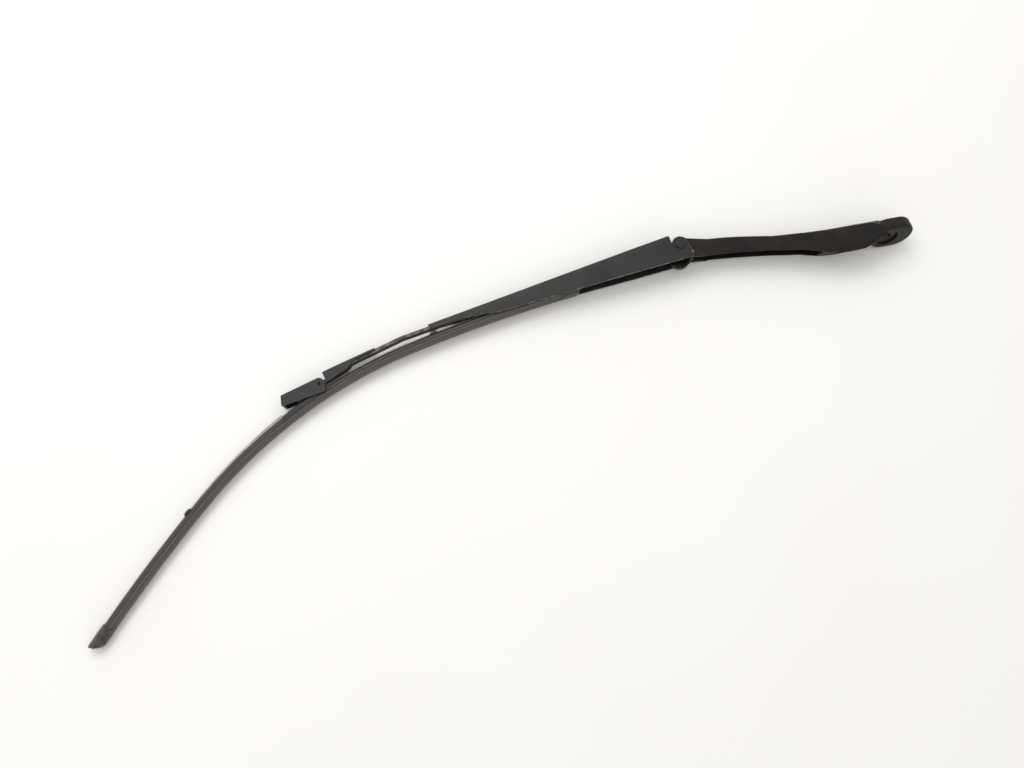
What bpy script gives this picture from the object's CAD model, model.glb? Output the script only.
from itertools import pairwise
from math import cos, pi, radians, sin

import bmesh
import bpy
from mathutils import Matrix, Vector


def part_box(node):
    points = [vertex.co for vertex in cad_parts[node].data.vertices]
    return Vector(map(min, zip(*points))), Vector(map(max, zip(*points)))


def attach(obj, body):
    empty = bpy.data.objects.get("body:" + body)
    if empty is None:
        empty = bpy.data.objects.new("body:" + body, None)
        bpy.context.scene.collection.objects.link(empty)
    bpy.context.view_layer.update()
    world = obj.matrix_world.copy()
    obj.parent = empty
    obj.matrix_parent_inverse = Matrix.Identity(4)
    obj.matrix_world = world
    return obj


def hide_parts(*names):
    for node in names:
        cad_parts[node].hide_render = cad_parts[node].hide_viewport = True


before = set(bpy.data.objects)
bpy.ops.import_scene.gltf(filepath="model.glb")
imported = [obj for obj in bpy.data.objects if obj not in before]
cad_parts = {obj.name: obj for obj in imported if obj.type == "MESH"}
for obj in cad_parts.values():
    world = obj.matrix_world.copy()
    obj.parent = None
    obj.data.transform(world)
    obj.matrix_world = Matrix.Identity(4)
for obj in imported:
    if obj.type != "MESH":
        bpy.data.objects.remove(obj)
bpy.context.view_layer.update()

# Cast head: the end that sits on the wiper spindle. It is one die-cast piece with a hollow underside, a
# fork for the hinge and a machined seat for the spindle, painted black and rubbed brown by weather and
# handling.
MM = 0.001
SPINDLE_AXIS = Vector((0.184303, -0.948179, 0.258819))
SPINDLE_RECESS_RADIUS = 11.6 * MM
NUT_SEAT_RADIUS = 12.1 * MM
RECESS_DEPTHS = (-0.2 * MM, 2.9 * MM)
NUT_SEAT_DEPTHS = (-11.9 * MM, -0.2 * MM)
HEAD_CREASE = 35
HEAD_SWELL_START, HEAD_SWELL_STOP, HEAD_SLICE = -132, -12, 6
SWELL_FADE = 4 * MM
HEAD_LINE = ((-208.1, -17.4), (-156.1, -12.9), (-101.7, -10.5), (-47.3, -4.5), (-7.1, 4.2))
HEAD_LIFT = ((-132, 0.0), (-100, 2.0), (-60, 2.4), (-22, 4.0), (-12, 1.5))
HEAD_DROP = ((-132, 0.0), (-95, 0.5), (-70, 2.6), (-45, 2.6), (-25, 0.6), (-12, 0.0))
HEAD_FULLNESS = ((-132, 1.0), (-97, 1.12), (-75, 1.42), (-52, 1.62), (-30, 1.6), (-18, 1.3), (-12, 1.0))


def linear(code):
    """An sRGB hex colour as linear RGBA."""
    shares = [int(code[place:place + 2], 16) / 255 for place in (1, 3, 5)]
    return [s / 12.92 if s <= 0.04045 else ((s + 0.055) / 1.055) ** 2.4 for s in shares] + [1.0]


def add(tree, kind, values=None, links=None, **settings):
    """Adds one node with its settings, socket values and links."""
    node = tree.nodes.new(kind)
    for name, value in settings.items():
        setattr(node, name, value)
    for name, value in (values or {}).items():
        node.inputs[name].default_value = value
    for name, source in (links or {}).items():
        tree.links.new(source, node.inputs[name])
    return node


def new_finish(name):
    """An empty material, its node tree and its shader."""
    finish = bpy.data.materials.new(name)
    finish.use_nodes = True
    return finish, finish.node_tree, finish.node_tree.nodes["Principled BSDF"]


def piece_of(mesh, name):
    """A finished piece at the origin, with its place in its mesh."""
    piece = bpy.data.objects.new(name, mesh)
    bpy.context.scene.collection.objects.link(piece)
    return piece


def round_edges(piece, width, crease, segments=2):
    """The modifier that rounds a piece's sharp edges by a width."""
    rounding = piece.modifiers.new("rounded edges", "BEVEL")
    rounding.width = width
    rounding.segments = segments
    rounding.limit_method = "ANGLE"
    rounding.angle_limit = radians(crease)
    rounding.harden_normals = True
    return rounding


def solid_copy(node, name, finishes, edge=0.3, crease=30):
    """A merged copy of a CAD solid with smooth faces, whose sharp edges are rounded by some millimetres."""
    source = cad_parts[node]
    shape = bmesh.new()
    shape.from_mesh(source.data)
    shape.transform(source.matrix_world)
    bmesh.ops.remove_doubles(shape, verts=shape.verts, dist=0.002 * MM)
    bmesh.ops.dissolve_limit(shape, angle_limit=radians(0.4), verts=shape.verts[:], edges=shape.edges[:])
    mesh = bpy.data.meshes.new(name)
    shape.to_mesh(mesh)
    shape.free()
    if "custom_normal" in mesh.attributes:
        mesh.attributes.remove(mesh.attributes["custom_normal"])
    mesh.shade_smooth()
    mesh.set_sharp_from_angle(angle=radians(crease))
    mesh.materials.clear()
    for finish in finishes:
        mesh.materials.append(finish)
    piece = piece_of(mesh, name)
    rounding = round_edges(piece, edge * MM, crease)
    rounding.use_clamp_overlap = False
    if len(finishes) > 1:
        rounding.material = 1
    return piece


def between(table, x):
    """The value at x on the straight lines between a table's points."""
    for (low, first), (high, second) in pairwise(table):
        if low <= x <= high:
            return first + (second - first) * (x - low) / (high - low)
    return table[0][1] if x < table[0][0] else table[-1][1]


# Black paint on a die casting: dull, with a fine peel, and browned by grime in 22 mm patches. The peel is
# under 1 mm on the real paint and is drawn at 2.5 mm so that it shows.
painted_casting, tree, shader = new_finish("die_cast_black_paint")
place = add(tree, "ShaderNodeTexCoord").outputs["Object"]
grime = add(tree, "ShaderNodeTexNoise", {"Scale": 1 / (22 * MM), "Detail": 5.0}, {"Vector": place})
peel = add(tree, "ShaderNodeTexNoise", {"Scale": 1 / (2.5 * MM), "Detail": 3.0}, {"Vector": place})
tint = add(tree, "ShaderNodeValToRGB", links={"Fac": grime.outputs["Fac"]})
tint.color_ramp.elements[0].position = 0.38
tint.color_ramp.elements[0].color = linear("#0f0d0c")
tint.color_ramp.elements[1].position = 0.72
tint.color_ramp.elements[1].color = linear("#241d18")
rough = add(tree, "ShaderNodeMapRange", {"To Min": 0.36, "To Max": 0.62}, {"Value": grime.outputs["Fac"]})
relief = add(
    tree, "ShaderNodeBump", {"Strength": 0.28, "Distance": 0.5 * MM}, {"Height": peel.outputs["Fac"]}
)
tree.links.new(tint.outputs["Color"], shader.inputs["Base Color"])
tree.links.new(rough.outputs["Result"], shader.inputs["Roughness"])
tree.links.new(relief.outputs["Normal"], shader.inputs["Normal"])
shader.inputs["Specular IOR Level"].default_value = 0.25

# The same paint where edges have been rubbed: thinner, smoother and greyer, with the metal close under it.
rubbed_paint, tree, shader = new_finish("rubbed_black_paint")
place = add(tree, "ShaderNodeTexCoord").outputs["Object"]
rub = add(
    tree, "ShaderNodeTexNoise", {"Scale": 1 / (7 * MM), "Detail": 6.0, "Roughness": 0.7}, {"Vector": place}
)
tint = add(tree, "ShaderNodeValToRGB", links={"Fac": rub.outputs["Fac"]})
tint.color_ramp.elements[0].position = 0.42
tint.color_ramp.elements[0].color = linear("#262321")
tint.color_ramp.elements[1].position = 0.70
tint.color_ramp.elements[1].color = linear("#8a8278")
rough = add(tree, "ShaderNodeMapRange", {"To Min": 0.30, "To Max": 0.48}, {"Value": rub.outputs["Fac"]})
tree.links.new(tint.outputs["Color"], shader.inputs["Base Color"])
tree.links.new(rough.outputs["Result"], shader.inputs["Roughness"])

# Machined aluminium in the spindle's seat: bare metal, dulled, darkened and pitted by oxide in 3 mm
# patches.
machined_seat, tree, shader = new_finish("machined_aluminium")
place = add(tree, "ShaderNodeTexCoord").outputs["Object"]
dull = add(tree, "ShaderNodeTexNoise", {"Scale": 1 / (3 * MM), "Detail": 4.0}, {"Vector": place})
tint = add(tree, "ShaderNodeValToRGB", links={"Fac": dull.outputs["Fac"]})
tint.color_ramp.elements[0].color = linear("#26231f")
tint.color_ramp.elements[1].color = linear("#645e55")
rough = add(tree, "ShaderNodeMapRange", {"To Min": 0.32, "To Max": 0.60}, {"Value": dull.outputs["Fac"]})
pits = add(tree, "ShaderNodeBump", {"Strength": 0.2, "Distance": 0.3 * MM}, {"Height": dull.outputs["Fac"]})
tree.links.new(tint.outputs["Color"], shader.inputs["Base Color"])
tree.links.new(rough.outputs["Result"], shader.inputs["Roughness"])
tree.links.new(pits.outputs["Normal"], shader.inputs["Normal"])
shader.inputs["Metallic"].default_value = 1.0

head_casting = solid_copy(
    "arm_head", "head_casting", [painted_casting, painted_casting, machined_seat], 0.6, HEAD_CREASE
)
shape = bmesh.new()
shape.from_mesh(head_casting.data)
for slice_x in range(HEAD_SWELL_START, HEAD_SWELL_STOP + 1, HEAD_SLICE):
    everything = shape.verts[:] + shape.edges[:] + shape.faces[:]
    here = Vector((slice_x * MM, 0, 0))
    bmesh.ops.bisect_plane(shape, geom=everything, plane_co=here, plane_no=(1, 0, 0), dist=0.001 * MM)
for vert in shape.verts:
    if HEAD_SWELL_START * MM < vert.co.x < HEAD_SWELL_STOP * MM:
        middle = between(HEAD_LINE, vert.co.x / MM) * MM
        off = (vert.co.y - middle) * between(HEAD_FULLNESS, vert.co.x / MM)
        swell = between(HEAD_LIFT if off > 0 else HEAD_DROP, vert.co.x / MM) * MM
        vert.co.y = middle + off + swell * max(-1.0, min(1.0, off / SWELL_FADE))
shape.to_mesh(head_casting.data)
shape.free()
head_casting.data.set_sharp_from_angle(angle=radians(HEAD_CREASE))
for face in head_casting.data.polygons:
    depth = face.center.dot(SPINDLE_AXIS)
    off_axis = (face.center - depth * SPINDLE_AXIS).length
    in_recess = RECESS_DEPTHS[0] < depth < RECESS_DEPTHS[1] and off_axis < SPINDLE_RECESS_RADIUS
    in_nut_seat = NUT_SEAT_DEPTHS[0] < depth < NUT_SEAT_DEPTHS[1] and off_axis < NUT_SEAT_RADIUS
    if in_recess or in_nut_seat:
        face.material_index = 2
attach(head_casting, "head")
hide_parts("arm_head")

# Shoulder of the head: the casting swells towards the spindle's boss, which softens the step between arm
# and boss. It is part of the same casting, with the same paint.
SHOULDER_START = (-76 * MM, -66 * MM)
SHOULDER_STOP = (-19 * MM, -12.6 * MM)
SHOULDER_CLEAR = 0.5 * MM
SHOULDER_INSET = 0.999
SHOULDER_CREASE = 40
SHOULDER_ROUNDING = 1.5 * MM
shape = bmesh.new()
for vert in head_casting.data.vertices:
    depth = vert.co.dot(SPINDLE_AXIS)
    off_axis = (vert.co - depth * SPINDLE_AXIS).length
    at_arm = SHOULDER_START[0] < vert.co.x < SHOULDER_START[1]
    at_boss = SHOULDER_STOP[0] < vert.co.x < SHOULDER_STOP[1] and off_axis > NUT_SEAT_RADIUS + SHOULDER_CLEAR
    if at_arm or at_boss:
        shape.verts.new(vert.co * SHOULDER_INSET)
hull = bmesh.ops.convex_hull(shape, input=shape.verts[:])
inside = [item for item in hull["geom_interior"] if isinstance(item, bmesh.types.BMVert)]
bmesh.ops.delete(shape, geom=inside, context="VERTS")
bmesh.ops.recalc_face_normals(shape, faces=shape.faces[:])
shoulder = bpy.data.meshes.new("head_shoulder")
shape.to_mesh(shoulder)
shape.free()
shoulder.shade_smooth()
shoulder.set_sharp_from_angle(angle=radians(SHOULDER_CREASE))
shoulder.materials.append(painted_casting)
head_shoulder = piece_of(shoulder, "head_shoulder")
round_edges(head_shoulder, SHOULDER_ROUNDING, SHOULDER_CREASE, 3)
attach(head_shoulder, "head")

# Spindle splines: fine ridges that the spindle's hardened cone has bitten into the bore, in the metal of
# the head. They lie evenly round the bore and run along it.
SPLINE_COUNT = 40
SPLINE_SIZE = 0.45 * MM
BORE_RADIUS = 5.0 * MM
BORE_LENGTH = 9.0 * MM
BORE_MIDDLE = -5.0 * MM


def new_growth(name, sizes):
    """An empty Geometry Nodes tree with named size inputs, its input node and its output node."""
    growth = bpy.data.node_groups.new(name, "GeometryNodeTree")
    growth.interface.new_socket("Geometry", in_out="INPUT", socket_type="NodeSocketGeometry")
    for label, kind in sizes.items():
        growth.interface.new_socket(label, in_out="INPUT", socket_type=kind)
    growth.interface.new_socket("Geometry", in_out="OUTPUT", socket_type="NodeSocketGeometry")
    return growth, add(growth, "NodeGroupInput"), add(growth, "NodeGroupOutput")


def grow(name, growth, sizes, start=None):
    """The plain mesh that a Geometry Nodes tree makes with these sizes, from a starting mesh if given."""
    holder = bpy.data.objects.new(name, start or bpy.data.meshes.new(name + "_start"))
    bpy.context.scene.collection.objects.link(holder)
    modifier = holder.modifiers.new("growth", "NODES")
    modifier.node_group = growth
    for socket in growth.interface.items_tree:
        if socket.name in sizes:
            modifier[socket.identifier] = sizes[socket.name]
    bpy.context.view_layer.update()
    mesh = bpy.data.meshes.new_from_object(holder.evaluated_get(bpy.context.evaluated_depsgraph_get()))
    holder.modifiers.remove(modifier)
    bpy.data.objects.remove(holder)
    mesh.name = name
    return mesh


growth, given, made = new_growth(
    "spline_ring",
    {
        "Count": "NodeSocketInt",
        "Bore radius": "NodeSocketFloat",
        "Ridge": "NodeSocketFloat",
        "Length": "NodeSocketFloat",
    },
)
ring = add(
    growth,
    "GeometryNodeMeshCircle",
    links={"Vertices": given.outputs["Count"], "Radius": given.outputs["Bore radius"]},
)
size = add(
    growth,
    "ShaderNodeCombineXYZ",
    links={"X": given.outputs["Ridge"], "Y": given.outputs["Ridge"], "Z": given.outputs["Length"]},
)
ridge = add(growth, "GeometryNodeMeshCube", links={"Size": size.outputs["Vector"]})
turned = add(
    growth, "GeometryNodeTransform", {"Rotation": (0, 0, pi / 4)}, {"Geometry": ridge.outputs["Mesh"]}
)
spot = add(growth, "GeometryNodeInputPosition")
facing = add(
    growth, "FunctionNodeAlignRotationToVector", links={"Vector": spot.outputs["Position"]}, axis="X"
)
ridges = add(
    growth,
    "GeometryNodeInstanceOnPoints",
    links={
        "Points": ring.outputs["Mesh"],
        "Instance": turned.outputs["Geometry"],
        "Rotation": facing.outputs["Rotation"],
    },
)
real = add(growth, "GeometryNodeRealizeInstances", links={"Geometry": ridges.outputs["Instances"]})
finished = add(
    growth, "GeometryNodeSetMaterial", {"Material": machined_seat}, {"Geometry": real.outputs["Geometry"]}
)
growth.links.new(finished.outputs["Geometry"], made.inputs["Geometry"])
splines = grow(
    "spindle_splines",
    growth,
    {"Count": SPLINE_COUNT, "Bore radius": BORE_RADIUS, "Ridge": SPLINE_SIZE, "Length": BORE_LENGTH},
)
splines.transform(
    Matrix.Translation(
        BORE_MIDDLE * SPINDLE_AXIS) @ SPINDLE_AXIS.to_track_quat("Z", "Y").to_matrix().to_4x4(
    )
)
spindle_splines = piece_of(splines, "spindle_splines")
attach(spindle_splines, "head")

# Hinge bushes: two flanged bushes pressed into the fork's cheeks, moulded in uncoloured nylon, so that
# the arm turns without wear on the casting. Their flanges lie between fork and channel.

# Nylon: milky, slightly waxy, stained with grease in soft 5 mm patches.
bush_nylon, tree, shader = new_finish("natural_nylon")
place = add(tree, "ShaderNodeTexCoord").outputs["Object"]
stain = add(tree, "ShaderNodeTexNoise", {"Scale": 1 / (5 * MM), "Detail": 3.0}, {"Vector": place})
tint = add(tree, "ShaderNodeValToRGB", links={"Fac": stain.outputs["Fac"]})
tint.color_ramp.elements[0].color = linear("#8d8574")
tint.color_ramp.elements[1].color = linear("#cfc7b4")
rough = add(tree, "ShaderNodeMapRange", {"To Min": 0.35, "To Max": 0.55}, {"Value": stain.outputs["Fac"]})
tree.links.new(tint.outputs["Color"], shader.inputs["Base Color"])
tree.links.new(rough.outputs["Result"], shader.inputs["Roughness"])
shader.inputs["IOR"].default_value = 1.53

for side in ("near", "far"):
    bush = solid_copy(f"hinge_bush_{side}", f"bush_{side}", [bush_nylon], 0.12)
    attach(bush, "head")
    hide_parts(f"hinge_bush_{side}")

# Spring hook and its pin: the steel link that passes the spring's pull to the head. The pin is pressed
# into the fork, and the hook is stamped from plate and curves round the hinge rivet as the arm folds.

# Zinc-plated steel: a dull warm grey skin, clouded and lightly pitted by oxide in 6 mm patches.
plated_steel, tree, shader = new_finish("zinc_plated_steel")
place = add(tree, "ShaderNodeTexCoord").outputs["Object"]
bloom = add(
    tree, "ShaderNodeTexNoise", {"Scale": 1 / (6 * MM), "Detail": 6.0, "Roughness": 0.65}, {"Vector": place}
)
tint = add(tree, "ShaderNodeValToRGB", links={"Fac": bloom.outputs["Fac"]})
tint.color_ramp.elements[0].position = 0.35
tint.color_ramp.elements[0].color = linear("#5e5a54")
tint.color_ramp.elements[1].position = 0.68
tint.color_ramp.elements[1].color = linear("#a8a59e")
rough = add(tree, "ShaderNodeMapRange", {"To Min": 0.30, "To Max": 0.58}, {"Value": bloom.outputs["Fac"]})
pits = add(
    tree, "ShaderNodeBump", {"Strength": 0.15, "Distance": 0.2 * MM}, {"Height": bloom.outputs["Fac"]}
)
tree.links.new(tint.outputs["Color"], shader.inputs["Base Color"])
tree.links.new(rough.outputs["Result"], shader.inputs["Roughness"])
tree.links.new(pits.outputs["Normal"], shader.inputs["Normal"])
shader.inputs["Metallic"].default_value = 1.0

# The hook itself is only oiled: blackened steel with a bright rim where it was stamped.
oiled_steel, tree, shader = new_finish("blackened_oiled_steel")
place = add(tree, "ShaderNodeTexCoord").outputs["Object"]
film = add(tree, "ShaderNodeTexNoise", {"Scale": 1 / (5 * MM), "Detail": 5.0}, {"Vector": place})
tint = add(tree, "ShaderNodeValToRGB", links={"Fac": film.outputs["Fac"]})
tint.color_ramp.elements[0].position = 0.35
tint.color_ramp.elements[0].color = linear("#211f1d")
tint.color_ramp.elements[1].position = 0.70
tint.color_ramp.elements[1].color = linear("#45413c")
rough = add(tree, "ShaderNodeMapRange", {"To Min": 0.28, "To Max": 0.5}, {"Value": film.outputs["Fac"]})
tree.links.new(tint.outputs["Color"], shader.inputs["Base Color"])
tree.links.new(rough.outputs["Result"], shader.inputs["Roughness"])
shader.inputs["Metallic"].default_value = 1.0

hook_plate = solid_copy("spring_hook", "hook_plate", [oiled_steel, plated_steel], 0.12)
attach(hook_plate, "hook")
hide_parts("spring_hook")
hook_axle = solid_copy("hook_pin", "hook_axle", [plated_steel], 0.3)
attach(hook_axle, "head")
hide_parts("hook_pin")

# Channel and hinge rivet: the long tapered U that carries the spring is pressed from 2 mm steel sheet and
# painted. Its cut edges, which face the glass, are the first place where the paint rubs through. The steel
# rivet is headed over both of its ears and painted with it.
CHANNEL_TIP = Vector((-510.996, -103.975, 0)) * MM
CHANNEL_TURN = radians(20.8)
CHANNEL_OUT = Vector((-sin(CHANNEL_TURN), cos(CHANNEL_TURN), 0))
CHANNEL_CREASE = 25
RIM_DEPTH = 4.5 * MM
RIM_FACING = -0.95
SHEET = 2.0 * MM
NOSE_LENGTH = 75.0 * MM
NOSE_REACH, NOSE_FADE = 6.0 * MM, 0.25
NOSE_SLICES, NOSE_CURVE = 8, 1.5
TIP_DEPTH, TIP_LIP, NOSE_DEPTH = 10.0 * MM, 5.2 * MM, 15.76 * MM

# Satin black paint on steel: dark and even, with a soft sheen, a faint peel drawn at 3 mm, dust in 30 mm
# clouds and hair scratches that run along the arm.
painted_steel, tree, shader = new_finish("satin_black_paint")
place = add(tree, "ShaderNodeTexCoord").outputs["Object"]
along = add(
    tree, "ShaderNodeMapping", {"Rotation": (0, 0, -CHANNEL_TURN), "Scale": (0.04, 1, 1)}, {"Vector": place}
)
dust = add(tree, "ShaderNodeTexNoise", {"Scale": 1 / (30 * MM), "Detail": 6.0}, {"Vector": place})
peel = add(tree, "ShaderNodeTexNoise", {"Scale": 1 / (3 * MM), "Detail": 2.0}, {"Vector": place})
hairs = add(
    tree, "ShaderNodeTexNoise", {"Scale": 1 / (1.5 * MM), "Detail": 2.0}, {"Vector": along.outputs["Vector"]}
)
tint = add(tree, "ShaderNodeValToRGB", links={"Fac": dust.outputs["Fac"]})
tint.color_ramp.elements[0].position = 0.35
tint.color_ramp.elements[0].color = linear("#19191a")
tint.color_ramp.elements[1].position = 0.75
tint.color_ramp.elements[1].color = linear("#282726")
scratched = add(
    tree,
    "ShaderNodeMapRange",
    {"From Min": 0.3, "From Max": 0.7, "To Min": 0.34, "To Max": 0.52},
    {"Value": hairs.outputs["Fac"]},
)
relief = add(
    tree, "ShaderNodeBump", {"Strength": 0.12, "Distance": 0.4 * MM}, {"Height": peel.outputs["Fac"]}
)
tree.links.new(tint.outputs["Color"], shader.inputs["Base Color"])
tree.links.new(scratched.outputs["Result"], shader.inputs["Roughness"])
tree.links.new(relief.outputs["Normal"], shader.inputs["Normal"])
shader.inputs["Specular IOR Level"].default_value = 0.4

pressed_channel = solid_copy(
    "arm_channel", "pressed_channel", [painted_steel, rubbed_paint], 0.5, CHANNEL_CREASE
)
shape = bmesh.new()
shape.from_mesh(pressed_channel.data)
channel_along = Vector((cos(CHANNEL_TURN), sin(CHANNEL_TURN), 0))
for step in range(1, NOSE_SLICES + 1):
    everything = shape.verts[:] + shape.edges[:] + shape.faces[:]
    here = CHANNEL_TIP + channel_along * NOSE_LENGTH * step / NOSE_SLICES
    bmesh.ops.bisect_plane(shape, geom=everything, plane_co=here, plane_no=channel_along, dist=0.001 * MM)
for vert in shape.verts:
    share = (vert.co - CHANNEL_TIP).dot(channel_along) / NOSE_LENGTH
    depth = -(vert.co - CHANNEL_TIP).dot(CHANNEL_OUT)
    vert.co -= channel_along * NOSE_REACH * max(0.0, 1 - share / NOSE_FADE)
    if share < 0.999 and depth > SHEET:
        full = TIP_DEPTH + (NOSE_DEPTH - TIP_DEPTH) * share
        drawn = TIP_LIP + (NOSE_DEPTH - TIP_LIP) * max(0.0, share) ** NOSE_CURVE
        vert.co += CHANNEL_OUT * (depth - SHEET) * (1 - (drawn - SHEET) / (full - SHEET))
shape.to_mesh(pressed_channel.data)
shape.free()
pressed_channel.data.set_sharp_from_angle(angle=radians(CHANNEL_CREASE))
for face in pressed_channel.data.polygons:
    depth = -(face.center - CHANNEL_TIP).dot(CHANNEL_OUT)
    if face.normal.dot(CHANNEL_OUT) < RIM_FACING and depth > RIM_DEPTH:
        face.material_index = 1
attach(pressed_channel, "arm")
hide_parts("arm_channel")
hinge_rivet = solid_copy("hinge_pin", "hinge_rivet", [painted_steel, rubbed_paint], 0.15)
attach(hinge_rivet, "arm")
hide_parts("hinge_pin")

# Tension spring and its stud: a coil of 2 mm steel wire pulls the hook towards a headed stud in the
# channel's back. Each end of the wire is bent to a half loop, one through the hook's hole and one round
# the stud.
HOOK_PIN = Vector((-223.5, -22.5, 0)) * MM
SPRING_LINE = Vector((-0.968961, -0.247215, 0))
SPRING_ACROSS = Vector((-0.247215, 0.968961, 0))
COIL_START, COIL_STOP = 50.4 * MM, 108.2 * MM
LOOP_START, LOOP_STOP = 48.4 * MM, 113.25 * MM
COIL_RADIUS = 4.4 * MM
COIL_TURNS = 13
WIRE_RADIUS, WIRE_SIDES = 1.0 * MM, 12
LOOP_STEPS, TURN_STEPS = 12, 24

growth, given, made = new_growth("wound_wire", {"Wire radius": "NodeSocketFloat", "Sides": "NodeSocketInt"})
bent = add(growth, "GeometryNodeMeshToCurve", links={"Mesh": given.outputs["Geometry"]})
section = add(
    growth,
    "GeometryNodeCurvePrimitiveCircle",
    links={"Resolution": given.outputs["Sides"], "Radius": given.outputs["Wire radius"]},
)
wire = add(
    growth,
    "GeometryNodeCurveToMesh",
    {"Fill Caps": True},
    {"Curve": bent.outputs["Curve"], "Profile Curve": section.outputs["Curve"]},
)
smooth = add(growth, "GeometryNodeSetShadeSmooth", links={"Geometry": wire.outputs["Mesh"]})
real = add(growth, "GeometryNodeRealizeInstances", links={"Geometry": smooth.outputs["Geometry"]})
finished = add(
    growth, "GeometryNodeSetMaterial", {"Material": plated_steel}, {"Geometry": real.outputs["Geometry"]}
)
growth.links.new(finished.outputs["Geometry"], made.inputs["Geometry"])
course = [(COIL_START, 0, -COIL_RADIUS)]
for step in range(LOOP_STEPS + 1):
    angle = pi * step / LOOP_STEPS
    course.append((LOOP_START - COIL_RADIUS * sin(angle), 0, -COIL_RADIUS * cos(angle)))
for step in range(COIL_TURNS * TURN_STEPS + 1):
    angle = 2 * pi * step / TURN_STEPS
    share = step / (COIL_TURNS * TURN_STEPS)
    lift = COIL_START + (COIL_STOP - COIL_START) * share
    course.append((lift, COIL_RADIUS * sin(angle), COIL_RADIUS * cos(angle)))
for step in range(LOOP_STEPS + 1):
    angle = pi * step / LOOP_STEPS
    course.append((LOOP_STOP + COIL_RADIUS * sin(angle), 0, COIL_RADIUS * cos(angle)))
course.append((COIL_STOP, 0, -COIL_RADIUS))
spots = [HOOK_PIN + a * SPRING_LINE + b * SPRING_ACROSS + Vector((0, 0, c)) for a, b, c in course]
thread = bpy.data.meshes.new("spring_course")
thread.from_pydata(spots, [(i, i + 1) for i in range(len(spots) - 1)], [])
coil = grow("coil_spring", growth, {"Wire radius": WIRE_RADIUS, "Sides": WIRE_SIDES}, thread)
coil_spring = piece_of(coil, "coil_spring")
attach(coil_spring, "arm")
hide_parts("tension_spring")
spring_stud = solid_copy("spring_anchor", "spring_stud", [plated_steel], 0.25)
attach(spring_stud, "arm")
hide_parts("spring_anchor")

# Rod and its rivets: a flat steel rod with rounded edges carries on from the channel's tip, cranked once,
# and is painted with it. Two rivets, painted over, hold it in the channel.
ROD_SIDE_FACING = 0.9
flat_rod = solid_copy("arm_rod", "flat_rod", [painted_steel, rubbed_paint], 0.5, 20)
for face in flat_rod.data.polygons:
    if face.normal.z > ROD_SIDE_FACING:
        face.material_index = 1
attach(flat_rod, "arm")
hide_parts("arm_rod")
channel_rivets = solid_copy("rod_rivets", "channel_rivets", [rubbed_paint], 0.3)
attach(channel_rivets, "arm")
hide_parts("rod_rivets")

# Adapter and locking cap: a moulded sleeve pushed on the rod's end carries the blade's pivot between two
# cheeks, and a moulded cap, hinged on a steel pin, folds over the cheeks and keeps the blade from coming
# off.

# Glass-filled nylon with a spark-eroded skin: black, fine-grained and dull. The 0.3 mm grain is drawn at
# 1.2 mm.
moulded_nylon, tree, shader = new_finish("moulded_black_nylon")
place = add(tree, "ShaderNodeTexCoord").outputs["Object"]
grain = add(tree, "ShaderNodeTexNoise", {"Scale": 1 / (1.2 * MM), "Detail": 3.0}, {"Vector": place})
chalk = add(tree, "ShaderNodeTexNoise", {"Scale": 1 / (12 * MM), "Detail": 5.0}, {"Vector": place})
tint = add(tree, "ShaderNodeValToRGB", links={"Fac": chalk.outputs["Fac"]})
tint.color_ramp.elements[0].position = 0.35
tint.color_ramp.elements[0].color = linear("#151516")
tint.color_ramp.elements[1].position = 0.75
tint.color_ramp.elements[1].color = linear("#262626")
rough = add(tree, "ShaderNodeMapRange", {"To Min": 0.42, "To Max": 0.66}, {"Value": chalk.outputs["Fac"]})
relief = add(
    tree, "ShaderNodeBump", {"Strength": 0.3, "Distance": 0.2 * MM}, {"Height": grain.outputs["Fac"]}
)
tree.links.new(tint.outputs["Color"], shader.inputs["Base Color"])
tree.links.new(rough.outputs["Result"], shader.inputs["Roughness"])
tree.links.new(relief.outputs["Normal"], shader.inputs["Normal"])
shader.inputs["IOR"].default_value = 1.53

# The same plastic on handled edges, polished and a little grey.
handled_nylon, tree, shader = new_finish("handled_black_nylon")
place = add(tree, "ShaderNodeTexCoord").outputs["Object"]
chalk = add(tree, "ShaderNodeTexNoise", {"Scale": 1 / (6 * MM), "Detail": 5.0}, {"Vector": place})
tint = add(tree, "ShaderNodeValToRGB", links={"Fac": chalk.outputs["Fac"]})
tint.color_ramp.elements[0].position = 0.35
tint.color_ramp.elements[0].color = linear("#2a2827")
tint.color_ramp.elements[1].position = 0.75
tint.color_ramp.elements[1].color = linear("#55514e")
rough = add(tree, "ShaderNodeMapRange", {"To Min": 0.28, "To Max": 0.45}, {"Value": chalk.outputs["Fac"]})
tree.links.new(tint.outputs["Color"], shader.inputs["Base Color"])
tree.links.new(rough.outputs["Result"], shader.inputs["Roughness"])
shader.inputs["IOR"].default_value = 1.53

CRANK = Vector((-545.02, -121.41, 0)) * MM
ADAPTER_TURN = radians(27.0)
ADAPTER_HALF_WIDTH = 6.5
SLEEVE_CUT = -72.0
SLEEVE_ROOF = (
    (-31, 2.7),
    (-72.3, 3.6),
    (-72.3, -5.9),
    (-69, -5.4),
    (-64, -3.2),
    (-60, -0.6),
    (-56, 0.5),
    (-31, 0.5),
)
CAP_MIDDLE = 6.45 * MM
CAP_PIN_END, CAP_FREE_END = 100.8 * MM, 146.8 * MM
CAP_DROP, CAP_DROP_FADE = 5.0 * MM, 5 * MM
adapter_place = Matrix.Translation(CRANK) @ Matrix.Rotation(ADAPTER_TURN, 4, "Z")
rod_sleeve = solid_copy("adapter_body", "rod_sleeve", [moulded_nylon, handled_nylon], 0.4)
shape = bmesh.new()
shape.from_mesh(rod_sleeve.data)
shape.transform(adapter_place.inverted())
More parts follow.
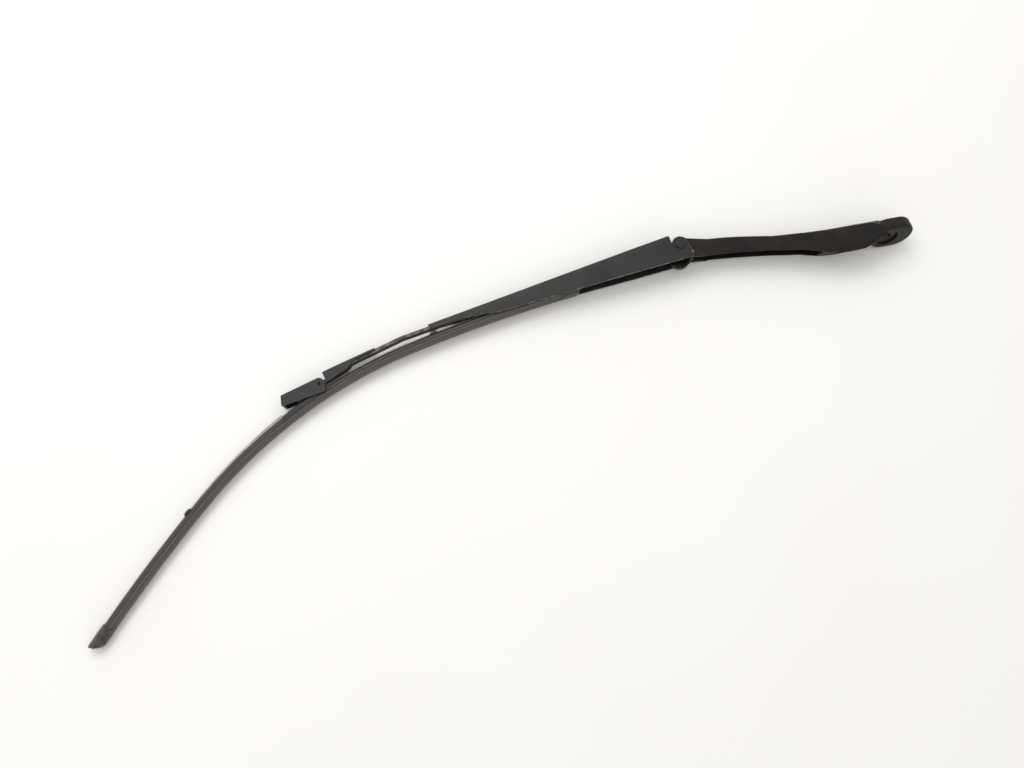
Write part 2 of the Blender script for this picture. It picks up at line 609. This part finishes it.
bmesh.ops.bisect_plane(
    shape,
    geom=shape.verts[:] + shape.edges[:] + shape.faces[:],
    plane_co=(SLEEVE_CUT * MM, 0, 0),
    plane_no=(1, 0, 0),
    clear_outer=True,
)
bmesh.ops.holes_fill(shape, edges=[edge for edge in shape.edges if edge.is_boundary])
foot = [shape.verts.new((x * MM, y * MM, -ADAPTER_HALF_WIDTH * MM)) for x, y in SLEEVE_ROOF]
roof = bmesh.ops.extrude_face_region(shape, geom=[shape.faces.new(foot)])
for vert in roof["geom"]:
    if isinstance(vert, bmesh.types.BMVert):
        vert.co.z = ADAPTER_HALF_WIDTH * MM
bmesh.ops.recalc_face_normals(shape, faces=shape.faces[:])
shape.transform(adapter_place)
shape.to_mesh(rod_sleeve.data)
shape.free()
rod_sleeve.data.shade_smooth()
rod_sleeve.data.set_sharp_from_angle(angle=radians(30))
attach(rod_sleeve, "arm")
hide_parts("adapter_body")
cap_axle = solid_copy("cap_pin", "cap_axle", [oiled_steel], 0.2)
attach(cap_axle, "arm")
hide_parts("cap_pin")
cover_cap = solid_copy("locking_cap", "cover_cap", [moulded_nylon, handled_nylon], 0.5)
for vert in cover_cap.data.vertices:
    local = adapter_place.inverted() @ vert.co
    below = -CAP_MIDDLE - local.y
    if below > 0:
        share = (local.x + CAP_FREE_END) / (CAP_FREE_END - CAP_PIN_END)
        local.y -= CAP_DROP * share * min(1.0, below / CAP_DROP_FADE)
        vert.co = adapter_place @ local
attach(cover_cap, "cap")
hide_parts("locking_cap")

# Connector base and pivot: a moulded saddle clamped over the two rails, with a lug for the steel pin on
# which the blade rocks between the adapter's cheeks.
saddle = solid_copy("connector_base", "saddle", [moulded_nylon, handled_nylon], 0.35)
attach(saddle, "blade")
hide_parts("connector_base")
rocker_pin = solid_copy("pivot_pin", "rocker_pin", [plated_steel], 0.25)
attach(rocker_pin, "blade")
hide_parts("pivot_pin")

# Rails: two strips of hardened spring steel, rolled to the blade's curve, that press the rubber evenly on
# the glass. They sit in grooves along the rubber's head, and only their edges show from below.

# Blued spring steel: dark, smooth, with faint rolling streaks.
rail_steel, tree, shader = new_finish("blued_spring_steel")
place = add(tree, "ShaderNodeTexCoord").outputs["Object"]
streak = add(tree, "ShaderNodeTexNoise", {"Scale": 1 / (4 * MM), "Detail": 4.0}, {"Vector": place})
tint = add(tree, "ShaderNodeValToRGB", links={"Fac": streak.outputs["Fac"]})
tint.color_ramp.elements[0].color = linear("#33343a")
tint.color_ramp.elements[1].color = linear("#5b5c61")
rough = add(tree, "ShaderNodeMapRange", {"To Min": 0.25, "To Max": 0.45}, {"Value": streak.outputs["Fac"]})
tree.links.new(tint.outputs["Color"], shader.inputs["Base Color"])
tree.links.new(rough.outputs["Result"], shader.inputs["Roughness"])
shader.inputs["Metallic"].default_value = 1.0

for side in ("near", "far"):
    strip = solid_copy(f"rail_{side}", f"strip_{side}", [rail_steel], 0.1, 40)
    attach(strip, "blade")
    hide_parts(f"rail_{side}")

# Wiping rubber: one extrusion with a thin lip, a shoulder that steadies it, a neck that lets it flop
# over, and a head that the rails grip. The lip is coated with graphite, which makes it greyer than the
# spoilers above it.
LIP_MIDDLE = Vector((-650.265, -208.428, 0)) * MM
BLADE_TURN = radians(38.6)
MIDDLE_RADIUS = 514.0 * MM
MIDDLE_HALF = 134.5 * MM
END_RADIUS = 1650.0 * MM
RUBBER_TIP, RUBBER_HEEL = -300.0 * MM, 330.0 * MM
SLICE = 4.0 * MM


def blade_at(along, height, z):
    """A point of the curved blade: length along the wiping edge from its middle, height above it, and z."""
    side = -1 if along < 0 else 1
    reach = abs(along)
    turn = min(reach, MIDDLE_HALF) / MIDDLE_RADIUS
    radius = MIDDLE_RADIUS
    centre = Vector((0, -MIDDLE_RADIUS))
    if reach > MIDDLE_HALF:
        centre += Vector((sin(turn), cos(turn))) * (MIDDLE_RADIUS - END_RADIUS)
        turn += (reach - MIDDLE_HALF) / END_RADIUS
        radius = END_RADIUS
    spot = centre + Vector((sin(turn), cos(turn))) * (radius + height)
    flat = Vector((side * spot.x, spot.y, z))
    return LIP_MIDDLE + Matrix.Rotation(BLADE_TURN, 3, "Z") @ flat


def section_of(corners):
    """A closed section in metres, from its right half as (z, height, rounding) in millimetres, top first."""
    ring = corners + [(-z, height, rounding) for z, height, rounding in reversed(corners)]
    points = []
    for before, (z, height, rounding), after in zip(ring[-1:] + ring[:-1], ring, ring[1:] + ring[:1]):
        here = Vector((z, height))
        if rounding == 0:
            points.append(here * MM)
            continue
        start = here + (Vector(before[:2]) - here).normalized() * rounding
        stop = here + (Vector(after[:2]) - here).normalized() * rounding
        for step in range(4):
            share = step / 3
            points.append(start.lerp(here, share).lerp(here.lerp(stop, share), share) * MM)
    return points


def extrusion(name, start, stop, section_at, finish, slice_length=SLICE, lean=lambda length, height: 0.0):
    """A profile carried along the blade, leaning by its height if asked, with a UV map in metres."""
    count = max(1, round((stop - start) / slice_length))
    lengths = [start + (stop - start) * step / count for step in range(count + 1)]
    shape = bmesh.new()
    uv = shape.loops.layers.uv.new("along")
    rings = []
    for length in lengths:
        ring = []
        for point in section_at(length):
            ring.append(shape.verts.new(blade_at(length + lean(length, point.y), point.y, point.x)))
        rings.append(ring)
    outline = section_at(start)
    round_it = [0.0]
    for here, there in pairwise(outline + outline[:1]):
        round_it.append(round_it[-1] + (there - here).length)
    for (first, second), (low, high) in zip(pairwise(rings), pairwise(lengths)):
        for place in range(len(first)):
            after = (place + 1) % len(first)
            face = shape.faces.new((first[place], first[after], second[after], second[place]))
            sides = (round_it[place], round_it[place + 1], round_it[place + 1], round_it[place])
            for loop, u, v in zip(face.loops, (low, low, high, high), sides):
                loop[uv].uv = (u, v)
    shape.faces.new(rings[0])
    shape.faces.new(rings[-1])
    bmesh.ops.recalc_face_normals(shape, faces=shape.faces[:])
    mesh = bpy.data.meshes.new(name)
    shape.to_mesh(mesh)
    shape.free()
    mesh.shade_smooth()
    mesh.set_sharp_from_angle(angle=radians(35))
    mesh.materials.append(finish)
    return piece_of(mesh, name)


# Graphite-coated rubber: mid grey with road dust in it, and dry, with die lines 0.4 mm apart along it and
# smears 25 mm long.
coated_rubber, tree, shader = new_finish("graphite_coated_rubber")
place = add(tree, "ShaderNodeUVMap", uv_map="along").outputs["UV"]
long_lines = add(
    tree, "ShaderNodeMapping", {"Scale": (1 / (25 * MM), 1 / (0.4 * MM), 1)}, {"Vector": place}
)
lines = add(
    tree, "ShaderNodeTexNoise", {"Scale": 1.0, "Detail": 4.0}, {"Vector": long_lines.outputs["Vector"]}
)
tint = add(tree, "ShaderNodeValToRGB", links={"Fac": lines.outputs["Fac"]})
tint.color_ramp.elements[0].position = 0.3
tint.color_ramp.elements[0].color = linear("#4a4643")
tint.color_ramp.elements[1].position = 0.72
tint.color_ramp.elements[1].color = linear("#6a645f")
rough = add(tree, "ShaderNodeMapRange", {"To Min": 0.6, "To Max": 0.85}, {"Value": lines.outputs["Fac"]})
relief = add(
    tree, "ShaderNodeBump", {"Strength": 0.15, "Distance": 0.1 * MM}, {"Height": lines.outputs["Fac"]}
)
tree.links.new(tint.outputs["Color"], shader.inputs["Base Color"])
tree.links.new(rough.outputs["Result"], shader.inputs["Roughness"])
tree.links.new(relief.outputs["Normal"], shader.inputs["Normal"])

rubber_section = section_of([
    (3.0, 8.6, 0.3),
    (3.0, 7.82, 0),
    (1.28, 7.82, 0),
    (1.28, 6.88, 0),
    (3.0, 6.88, 0),
    (3.0, 5.8, 0.25),
    (0.6, 5.8, 0.15),
    (0.6, 5.0, 0.15),
    (4.6, 5.85, 0.2),
    (4.9, 5.4, 0.2),
    (4.4, 4.2, 0.4),
    (1.1, 3.4, 0.4),
    (0.4, 0.0, 0.15),
])
lip_extrusion = extrusion(
    "lip_extrusion", RUBBER_TIP, RUBBER_HEEL, lambda length: rubber_section, coated_rubber
)
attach(lip_extrusion, "blade")
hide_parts("wiper_rubber")

# Spoilers: two extruded fins, one each side of the connector, clawed over the rails. Their hollow flanks
# turn the wind into a press on the glass, and their crests stand taller beside the connector.
SADDLE_TIP, SADDLE_HEEL = -16.02 * MM, 42.02 * MM
CLIP_REACH = 160.0 * MM
SPOILER_HEIGHT = 13.0
TIP_CREST, HEEL_CREST = 15.2, 13.4
END_SETBACK = 2.0 * MM
FIN_FACES = 7
SIDE_FACES = range(14, 19)


def spoiler_section(length):
    """The spoiler's section at a length, with its crest at the height that it has there."""
    root, crest = (SADDLE_TIP, TIP_CREST) if length < 0 else (SADDLE_HEEL, HEEL_CREST)
    share = max(0.0, 1 - (abs(length) - abs(root)) / (CLIP_REACH - abs(root)))
    top = SPOILER_HEIGHT + (crest - SPOILER_HEIGHT) * min(1.0, share)
    return section_of([
        (0.55, top, 0.3),
        (0.75, 12.1, 0.3),
        (2.5, 10.7, 1.2),
        (5.2, 9.2, 0.5),
        (5.2, 6.0, 0.5),
        (3.2, 6.0, 0.2),
        (3.2, 6.88, 0),
        (4.72, 6.88, 0),
        (4.72, 7.82, 0),
        (3.2, 7.82, 0),
        (3.2, 8.8, 0),
    ])


# Extruded spoiler rubber: near black, a little chalky, with die lines 0.8 mm apart along it and dust in
# 40 mm clouds.
spoiler_rubber, tree, shader = new_finish("extruded_black_rubber")
place = add(tree, "ShaderNodeUVMap", uv_map="along").outputs["UV"]
long_lines = add(
    tree, "ShaderNodeMapping", {"Scale": (1 / (60 * MM), 1 / (0.8 * MM), 1)}, {"Vector": place}
)
lines = add(
    tree, "ShaderNodeTexNoise", {"Scale": 1.0, "Detail": 3.0}, {"Vector": long_lines.outputs["Vector"]}
)
cloud = add(tree, "ShaderNodeTexNoise", {"Scale": 1 / (40 * MM), "Detail": 5.0}, {"Vector": place})
mixed = add(
    tree, "ShaderNodeMath", links={0: lines.outputs["Fac"], 1: cloud.outputs["Fac"]}, operation="MULTIPLY"
)
tint = add(tree, "ShaderNodeValToRGB", links={"Fac": mixed.outputs["Value"]})
tint.color_ramp.elements[0].position = 0.15
tint.color_ramp.elements[0].color = linear("#171717")
tint.color_ramp.elements[1].position = 0.42
tint.color_ramp.elements[1].color = linear("#363637")
rough = add(tree, "ShaderNodeMapRange", {"To Min": 0.5, "To Max": 0.78}, {"Value": cloud.outputs["Fac"]})
relief = add(
    tree, "ShaderNodeBump", {"Strength": 0.2, "Distance": 0.1 * MM}, {"Height": lines.outputs["Fac"]}
)
tree.links.new(tint.outputs["Color"], shader.inputs["Base Color"])
tree.links.new(rough.outputs["Result"], shader.inputs["Roughness"])
tree.links.new(relief.outputs["Normal"], shader.inputs["Normal"])

# The same rubber along the crest, bleached grey by sun and polished by brushing past.
bleached_rubber, tree, shader = new_finish("bleached_black_rubber")
place = add(tree, "ShaderNodeUVMap", uv_map="along").outputs["UV"]
cloud = add(tree, "ShaderNodeTexNoise", {"Scale": 1 / (25 * MM), "Detail": 5.0}, {"Vector": place})
tint = add(tree, "ShaderNodeValToRGB", links={"Fac": cloud.outputs["Fac"]})
tint.color_ramp.elements[0].position = 0.3
tint.color_ramp.elements[0].color = linear("#8a8682")
tint.color_ramp.elements[1].position = 0.7
tint.color_ramp.elements[1].color = linear("#b4afa8")
rough = add(tree, "ShaderNodeMapRange", {"To Min": 0.35, "To Max": 0.6}, {"Value": cloud.outputs["Fac"]})
tree.links.new(tint.outputs["Color"], shader.inputs["Base Color"])
tree.links.new(rough.outputs["Result"], shader.inputs["Roughness"])

# The same rubber on the claws' sides, dusty brown-grey from the road.
weathered_rubber, tree, shader = new_finish("weathered_black_rubber")
place = add(tree, "ShaderNodeUVMap", uv_map="along").outputs["UV"]
long_lines = add(
    tree, "ShaderNodeMapping", {"Scale": (1 / (30 * MM), 1 / (0.8 * MM), 1)}, {"Vector": place}
)
lines = add(
    tree, "ShaderNodeTexNoise", {"Scale": 1.0, "Detail": 4.0}, {"Vector": long_lines.outputs["Vector"]}
)
tint = add(tree, "ShaderNodeValToRGB", links={"Fac": lines.outputs["Fac"]})
tint.color_ramp.elements[0].position = 0.3
tint.color_ramp.elements[0].color = linear("#383533")
tint.color_ramp.elements[1].position = 0.72
tint.color_ramp.elements[1].color = linear("#524d49")
rough = add(tree, "ShaderNodeMapRange", {"To Min": 0.6, "To Max": 0.85}, {"Value": lines.outputs["Fac"]})
tree.links.new(tint.outputs["Color"], shader.inputs["Base Color"])
tree.links.new(rough.outputs["Result"], shader.inputs["Roughness"])

for name, node, start, stop in (
    ("fin_tip", "spoiler_tip", RUBBER_TIP + END_SETBACK, SADDLE_TIP),
    ("fin_heel", "spoiler_heel", SADDLE_HEEL, RUBBER_HEEL - END_SETBACK),
):
    fin = extrusion(name, start, stop, spoiler_section, spoiler_rubber)
    fin.data.materials.append(bleached_rubber)
    fin.data.materials.append(weathered_rubber)
    ring_size = len(spoiler_section(start))
    for face in fin.data.polygons[:-2]:
        in_ring = face.index % ring_size
        from_crest = min(in_ring, abs(ring_size - 2 - in_ring))
        if from_crest < FIN_FACES or in_ring == ring_size - 1:
            face.material_index = 1
        elif from_crest in SIDE_FACES:
            face.material_index = 2
    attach(fin, "blade")
    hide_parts(node)

# Back clips and end caps: small moulded clips straddle the fins, and a moulded cap closes each end of the
# blade over spoiler, rails and rubber. It is snapped on, and its outer end is raked back towards the
# glass.
CAP_LENGTH = 27.0 * MM
CAP_RAKE = 0.62
CAP_CREST, CAP_CORE = 14.2 * MM, 7.3 * MM
CAP_INNER_SHARE, CAP_INNER_RUN = 0.93, 5 * MM
CAP_OUTER_SHARE, CAP_OUTER_RUN = 0.86, 3 * MM
CAP_SECTION = [(1.2, 14.2, 0.8), (5.6, 10.4, 1.6), (6.1, 6.0, 1.0), (4.2, 2.0, 1.2), (1.6, 0.5, 0.6)]
CAP_SLICE = 1.0 * MM
TIP_END, HEEL_END = 311 * MM, 341 * MM
CLIP_LENGTH = 9.0 * MM
CLIP_SINK, CLIP_WALL_TOP = 1.6, 13.0 * MM
CLIP_SECTION = [(2.3, 14.9, 0.9), (2.5, 12.2, 0.3), (1.25, 12.2, 0.1), (1.25, 13.6, 0.1)]
CLIP_SLICE = 0.75 * MM
TIP_CLIP, HEEL_CLIP = -150 * MM, 167 * MM


def cap_section(reach):
    """The end cap's section at a reach from its outer end, drawn in at both of its ends."""
    inner = CAP_INNER_SHARE + (1 - CAP_INNER_SHARE) * (CAP_LENGTH - reach) / CAP_INNER_RUN
    outer = CAP_OUTER_SHARE + (1 - CAP_OUTER_SHARE) * reach / CAP_OUTER_RUN
    full = min(1.0, inner, outer)
    return [Vector((p.x * full, CAP_CORE + (p.y - CAP_CORE) * full)) for p in section_of(CAP_SECTION)]


def cap_setback(reach, height):
    """How far a point of the cap lies back from a square end, most at the wiping edge of the outer end."""
    return CAP_RAKE * max(0.0, CAP_CREST - height) * (1 - reach / CAP_LENGTH)


def clip_section(off_middle):
    """The back clip's section at a length from its middle, lower towards its two ends."""
    share = 1 - (2 * off_middle / CLIP_LENGTH) ** 2
    sink = (CLIP_SINK - CLIP_SINK * max(0.0, share) ** 0.5) * MM
    return [Vector((p.x, p.y - sink if p.y > CLIP_WALL_TOP else p.y)) for p in section_of(CLIP_SECTION)]


for name, node, end, side in (
    ("end_tip", "end_cap_tip", TIP_END, -1),
    ("end_heel", "end_cap_heel", HEEL_END, 1),
):
    moulding = extrusion(
        name,
        min(side * end, side * (end - CAP_LENGTH)),
        max(side * end, side * (end - CAP_LENGTH)),
        lambda length: cap_section(end - abs(length)),
        handled_nylon,
        CAP_SLICE,
        lambda length, height: -side * cap_setback(end - abs(length), height),
    )
    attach(moulding, "blade")
    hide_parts(node)
for name, node, middle in (
    ("clip_tip", "back_clip_tip", TIP_CLIP),
    ("clip_heel", "back_clip_heel", HEEL_CLIP),
):
    clip = extrusion(
        name,
        middle - CLIP_LENGTH / 2,
        middle + CLIP_LENGTH / 2,
        lambda length: clip_section(length - middle),
        handled_nylon,
        CLIP_SLICE,
    )
    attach(clip, "blade")
    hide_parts(node)

# The floor, the light and the camera. The wiper lies on its side on the head's boss and the blade's end
# caps, so the pale floor is laid through those points. The light is a pale room with one large soft lamp.
FLOOR_HALF = 4.0
BOSS_REST = 0.012
LAMP_PLACE, LAMP_AIM = Vector((-1.1, 0.9, 1.6)), Vector((-0.42, -0.17, 0))
EYE, EYE_TILT = Vector((-0.42395, -0.36746, 0.84586)), radians(13)
boss_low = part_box("arm_head")[0]
tip_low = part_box("end_cap_tip")[0]
slope = (tip_low[2] - boss_low[2]) / (tip_low[0] - BOSS_REST)
floor = bpy.data.meshes.new("pale_floor")
corners = [(x * FLOOR_HALF, y * FLOOR_HALF) for x, y in ((-1, -1), (1, -1), (1, 1), (-1, 1))]
floor.from_pydata([(x, y, boss_low[2] + slope * (x - BOSS_REST)) for x, y in corners], [], [(0, 1, 2, 3)])
pale_floor = piece_of(floor, "pale_floor")

# Pale laminate: warm white, dull, hardly patterned, in clouds of a third of a metre.
laminate, tree, shader = new_finish("pale_laminate")
place = add(tree, "ShaderNodeTexCoord").outputs["Object"]
cloud = add(tree, "ShaderNodeTexNoise", {"Scale": 1 / (333 * MM), "Detail": 2.0}, {"Vector": place})
tint = add(tree, "ShaderNodeValToRGB", links={"Fac": cloud.outputs["Fac"]})
tint.color_ramp.elements[0].color = linear("#f9f7f3")
tint.color_ramp.elements[1].color = linear("#fefdfb")
tree.links.new(tint.outputs["Color"], shader.inputs["Base Color"])
shader.inputs["Roughness"].default_value = 0.75
floor.materials.append(laminate)

room = bpy.data.worlds.new("pale_room")
room.use_nodes = True
room.node_tree.nodes["Background"].inputs["Color"].default_value = linear("#fdfcfa")
room.node_tree.nodes["Background"].inputs["Strength"].default_value = 0.80
bpy.context.scene.world = room
lamp = bpy.data.lights.new("soft_lamp", "AREA")
lamp.shape = "RECTANGLE"
lamp.size = 1.8
lamp.size_y = 1.2
lamp.energy = 17.0
soft_lamp = bpy.data.objects.new("soft_lamp", lamp)
soft_lamp.location = LAMP_PLACE
soft_lamp.rotation_euler = (LAMP_AIM - LAMP_PLACE).to_track_quat("-Z", "Y").to_euler()
bpy.context.scene.collection.objects.link(soft_lamp)

view = bpy.data.cameras.new("view")
view.sensor_width = 36.0
view.lens = 28.125
camera = bpy.data.objects.new("view", view)
camera.location = EYE
camera.rotation_euler = (EYE_TILT, 0, 0)
bpy.context.scene.collection.objects.link(camera)
bpy.context.scene.camera = camera
bpy.context.scene.view_settings.view_transform = "Standard"
